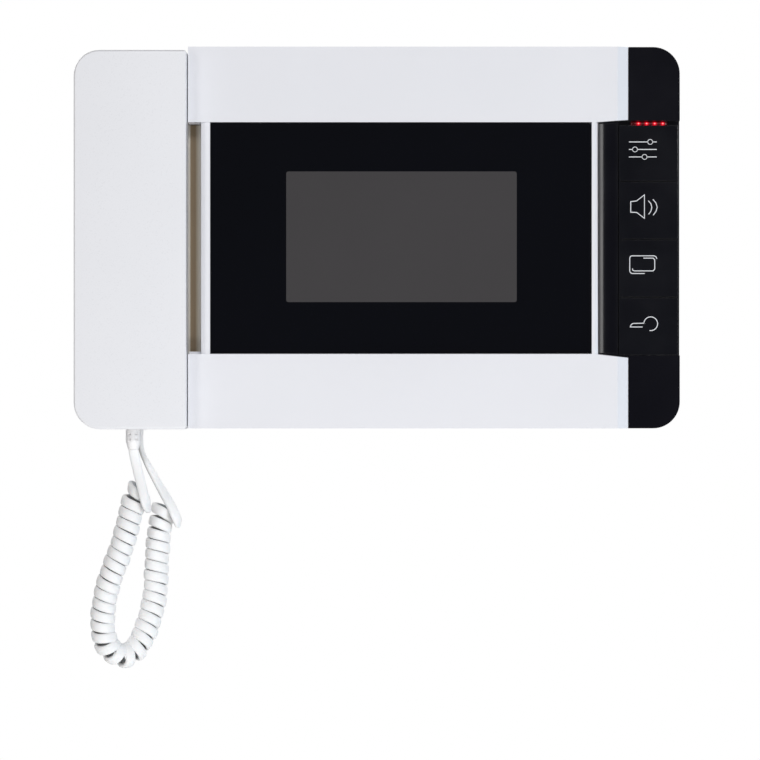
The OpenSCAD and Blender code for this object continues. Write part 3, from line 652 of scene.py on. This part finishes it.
def lens():
    x0, x1, z0 = ll0.x / MM + 1, ll1.x / MM - 1, ll0.z / MM + 0.1
    z1 = z0 + 1.1
    front = -ll0.y / MM
    rs = [(0.0, 31.5), (0.0, front - 0.4), (0.1, front - 0.15), (0.28, front - 0.02)]
    vs, fs = [], []
    foot = [[(x, -d, z) for x, z in rounded(x0 - 1 + i, ll0.z / MM + i, x1 + 1 - i, ll1.z / MM - i, 0.4, 4)]
            for i, d in ((0.2, 28.2), (0.0, 28.4), (0.0, 31.3), (0.25, 31.5))]
    bar = [[(x, -d, z) for x, z in rounded(x0 + i, z0 + i, x1 - i, z1 - i, max(0.45 - i, 0.1), 4)] for i, d in rs]
    layers = foot + bar
    m = len(layers[0])
    vs = [p for la in layers for p in la]
    for k in range(len(layers) - 1):
        for q in range(m):
            r = (q + 1) % m
            fs.append((k * m + q, k * m + r, (k + 1) * m + r, (k + 1) * m + q))
    fs.append(tuple((len(layers) - 1) * m + q for q in range(m)))
    fs.append(tuple(q for q in range(m))[::-1])
    ob = new_object("light_bar", vs, fs)
    sharp_by_angle(ob.data, 35)
    m_ = bpy.data.materials.new("light_bar_red")
    m_.use_nodes = True
    nt = m_.node_tree
    bsdf = nt.nodes["Principled BSDF"]
    co = nt.nodes.new("ShaderNodeTexCoord")
    sep = nt.nodes.new("ShaderNodeSeparateXYZ")
    nt.links.new(co.outputs["Object"], sep.inputs[0])
    total = None
    zc = (z0 + z1) / 2
    for i in range(4):
        far = nt.nodes.new("ShaderNodeVectorMath")
        far.operation = "DISTANCE"
        flat = nt.nodes.new("ShaderNodeCombineXYZ")
        flat.inputs[1].default_value = 0.0
        nt.links.new(sep.outputs["X"], flat.inputs[0])
        nt.links.new(sep.outputs["Z"], flat.inputs[2])
        nt.links.new(flat.outputs[0], far.inputs[0])
        far.inputs[1].default_value = ((108 + i * 3.34) * MM, 0, zc * MM)
        mr = nt.nodes.new("ShaderNodeMapRange")
        mr.inputs["From Min"].default_value = 0.0
        mr.inputs["From Max"].default_value = 1.5 * MM
        mr.inputs["To Min"].default_value = 1.0
        mr.inputs["To Max"].default_value = 0.0
        nt.links.new(far.outputs["Value"], mr.inputs["Value"])
        if total is None:
            total = mr.outputs["Result"]
        else:
            add = nt.nodes.new("ShaderNodeMath")
            add.operation = "MAXIMUM"
            nt.links.new(total, add.inputs[0])
            nt.links.new(mr.outputs["Result"], add.inputs[1])
            total = add.outputs[0]
    ramp = nt.nodes.new("ShaderNodeValToRGB")
    ramp.color_ramp.elements[0].color = (0.03, 0.0, 0.001, 1)
    ramp.color_ramp.elements[1].color = (1.0, 0.92, 0.90, 1)
    for at, col in ((0.25, (0.10, 0.0, 0.003, 1)), (0.5, (0.30, 0.001, 0.006, 1)), (0.72, (0.85, 0.004, 0.02, 1)), (0.84, (1.0, 0.08, 0.10, 1))):
        ramp.color_ramp.elements.new(at).color = col
    nt.links.new(total, ramp.inputs["Fac"])
    nt.links.new(ramp.outputs["Color"], bsdf.inputs["Emission Color"])
    bsdf.inputs["Emission Strength"].default_value = 1.3
    noise = nt.nodes.new("ShaderNodeTexNoise")
    noise.inputs["Scale"].default_value = 500
    nt.links.new(co.outputs["Object"], noise.inputs["Vector"])
    r2 = nt.nodes.new("ShaderNodeValToRGB")
    r2.color_ramp.elements[0].color = (0.035, 0.002, 0.003, 1)
    r2.color_ramp.elements[1].color = (0.05, 0.003, 0.004, 1)
    nt.links.new(noise.outputs["Fac"], r2.inputs["Fac"])
    nt.links.new(r2.outputs["Color"], bsdf.inputs["Base Color"])
    bsdf.inputs["Roughness"].default_value = 0.25
    ob.data.materials.append(m_)
    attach(ob, "base")
    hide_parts("led_lens")


lens()


# ---------------------------------------------------------------- printed symbols on the keys
def px(x, y):
    return ((x - 376.75) * 0.412, (237.5 - y) * 0.412)


def strip(name, lines, width, body, depth):
    """Raised print: each line is a list of points in X and Z, drawn as a flat bar of that width."""
    vs, fs = [], []
    h0, h1 = depth - 0.02, depth + 0.045
    for pts, closed in lines:
        p = [np.array(q, float) for q in pts]
        m = len(p)
        base = len(vs)
        for i in range(m):
            a = p[(i - 1) % m] if (closed or i > 0) else p[i]
            b = p[(i + 1) % m] if (closed or i < m - 1) else p[i]
            t = unit(b - a)
            if (closed or 0 < i < m - 1):
                t1, t2 = unit(p[i] - a), unit(b - p[i])
                t = unit(t1 + t2)
                k = 1 / max(0.5, float(np.dot(t, t1)))
            else:
                k = 1
            nn = np.array([-t[1], t[0]]) * width / 2 * k
            for d, e in ((h0, 1), (h1, 0.86), (h1, -0.86), (h0, -1)):
                q = p[i] + nn * e
                vs.append((q[0], -d, q[1]))
        for i in range(m if closed else m - 1):
            j = (i + 1) % m
            for q in range(4):
                r = (q + 1) % 4
                fs.append((base + i * 4 + q, base + i * 4 + r, base + j * 4 + r, base + j * 4 + q))
        if not closed:
            fs.append((base, base + 1, base + 2, base + 3))
            e = base + (m - 1) * 4
            fs.append((e + 3, e + 2, e + 1, e))
    ob = new_object(name, vs, fs, smooth=False)
    ob.data.materials.append(M["icon_grey"])
    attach(ob, body)
    return ob


def arc_px(cx, cy, r, a0, a1, n, ry=None):
    out = []
    for k in range(n + 1):
        a = math.radians(a0 + (a1 - a0) * k / n)
        out.append(px(cx + r * math.cos(a), cy + (ry or r) * math.sin(a)))
    return out


key_front = -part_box("key_settings")[0].y / MM
LINE_W = 0.37
SETTINGS = ((141.3, 650.5), (148.8, 635.2), (156.3, 644.8))
strip("symbol_settings",
      [([px(629.2, y), px(cx - 2.5, y)], False) for y, cx in SETTINGS]
      + [([px(cx + 2.5, y), px(657, y)], False) for y, cx in SETTINGS],
      LINE_W, "key_settings", key_front)
strip("symbol_settings_knobs", [(arc_px(cx, y, 2.5, 0, 337.5, 15), True) for y, cx in SETTINGS], 0.27, "key_settings", key_front)
strip("symbol_sound",
      [([px(631, 201), px(636.7, 200.4), px(644.7, 194.3), px(644.7, 217.8), px(637.0, 211.9), px(631, 211.6)], True),
       ([px(648.6, 200.2), px(651.2, 203.0), px(652.1, 206.8), px(651.2, 210.6), px(648.8, 213.8)], False),
       ([px(653.2, 198.8), px(656.2, 202.4), px(657.5, 206.6), px(656.3, 210.8), px(653.4, 214.6)], False)],
      LINE_W, "key_talk", key_front)
strip("symbol_monitor",
      [([px(645, 273), px(632.4, 273), px(630.7, 272.2), px(630, 270.6), px(630, 257.6), px(630.6, 256.0), px(632, 255.3),
         px(654.6, 255.3), px(656.4, 256.4), px(657.2, 258.4)], False),
       ([px(643.7, 257.6), px(653.4, 257.6), px(655, 259.2), px(655, 268.6), px(653.4, 270.4), px(634.4, 270.4), px(633, 269.6), px(632.7, 268)], False)],
      LINE_W, "key_monitor", key_front)
strip("symbol_unlock",
      [(arc_px(651, 323.3, 6.9, 100, -175, 26), False),
       ([px(644.5, 322.7), px(633, 323), px(631.2, 324.6), px(630.6, 326.5), px(642.9, 326.5)], False)],
      LINE_W, "key_unlock", key_front)


# ---------------------------------------------------------------- what stays as drawn
KEEP = {
    "rear_cover": "white_satin",
    "window_tape": "foam_black", "lcd_panel": "lcd_glass", "lcd_backlight": "tin_steel", "lcd_bracket": "grey_plastic",
    "lcd_ribbon": "film_amber", "main_board": "board_green", "power_transformer": "ferrite",
    "capacitors": "capacitor_sleeve", "door_relay": "relay_blue", "mains_fuse": "fuse_glass",
    "control_chips": "black_plastic", "key_board": "board_green", "tact_switches": "tin_steel",
    "status_leds": "led_red", "key_board_ribbon": "ribbon_grey", "loudspeaker": "grey_plastic",
    "speaker_gasket": "foam_black", "speaker_lead": "wire_red", "hook_spring": "steel", "hook_switch": "black_plastic",
    "earpiece_capsule": "grey_plastic", "earpiece_felt": "foam_black", "mouthpiece_capsule": "tin_steel",
    "mouthpiece_boot": "rubber_black", "handset_weight": "weight_steel", "handset_lead": "wire_red",
}
for nd, key in KEEP.items():
    ob = nodes[nd]
    if not ob.material_slots:
        ob.data.materials.append(M[key])
    for s in ob.material_slots:
        s.material = M[key]


# ---------------------------------------------------------------- floor and light
def floor():
    me = bpy.data.meshes.new("floor")
    bm = bmesh.new()
    bmesh.ops.create_circle(bm, cap_ends=True, radius=0.45, segments=96)
    bm.to_mesh(me)
    bm.free()
    ob = bpy.data.objects.new("floor", me)
    ob.location = (0, 0.05, -0.33)
    scene.collection.objects.link(ob)
    me.materials.append(material("floor_pale", rgb(244, 244, 244), 0.8, 0.01, 6, 0.05, 300, 0.03, emission=(1, 1, 1, 1), strength=0.35))


floor()

world = bpy.data.worlds.new("studio")
scene.world = world
world.use_nodes = True
nt = world.node_tree
for x in list(nt.nodes):
    nt.nodes.remove(x)
out = nt.nodes.new("ShaderNodeOutputWorld")
mixs = nt.nodes.new("ShaderNodeMixShader")
lp = nt.nodes.new("ShaderNodeLightPath")
soft = nt.nodes.new("ShaderNodeBackground")
soft.inputs["Color"].default_value = (0.97, 0.98, 1.0, 1)
soft.inputs["Strength"].default_value = 0.15
back = nt.nodes.new("ShaderNodeBackground")
back.inputs["Color"].default_value = (1, 1, 1, 1)
back.inputs["Strength"].default_value = 1.0
nt.links.new(lp.outputs["Is Camera Ray"], mixs.inputs[0])
nt.links.new(soft.outputs[0], mixs.inputs[1])
nt.links.new(back.outputs[0], mixs.inputs[2])
nt.links.new(mixs.outputs[0], out.inputs["Surface"])


def area(name, loc, target, size, power, colour=(1, 1, 1)):
    d = bpy.data.lights.new(name, "AREA")
    d.shape = "RECTANGLE"
    d.size, d.size_y = size
    d.energy = power
    d.color = colour
    ob = bpy.data.objects.new(name, d)
    ob.location = loc
    ob.rotation_euler = (Vector(target) - Vector(loc)).to_track_quat("-Z", "Y").to_euler()
    scene.collection.objects.link(ob)
    return ob


CENTRE = (0, -0.02, -0.03)
area("front_light", (0.40, -2.15, 0.84), CENTRE, (1.2, 0.34), 15.8, (1.0, 0.988, 0.982))
area("front_low", (0.30, -2.15, -0.95), CENTRE, (1.2, 0.34), 10.1, (1.0, 0.988, 0.982))
area("front_right", (0.98, -2.05, -0.05), CENTRE, (0.3, 1.0), 8.5, (1.0, 0.988, 0.982))
area("left_light", (-1.15, -1.75, 0.10), CENTRE, (0.5, 1.5), 7, (1.0, 0.995, 0.99))
area("right_light", (1.75, -1.0, 0.10), CENTRE, (0.8, 1.6), 4.6, (0.38, 0.70, 1.0))
area("back_left", (-1.5, 1.7, 1.0), CENTRE, (1.2, 1.2), 20)
area("back_right", (1.5, 1.7, 0.7), CENTRE, (1.2, 1.2), 20)
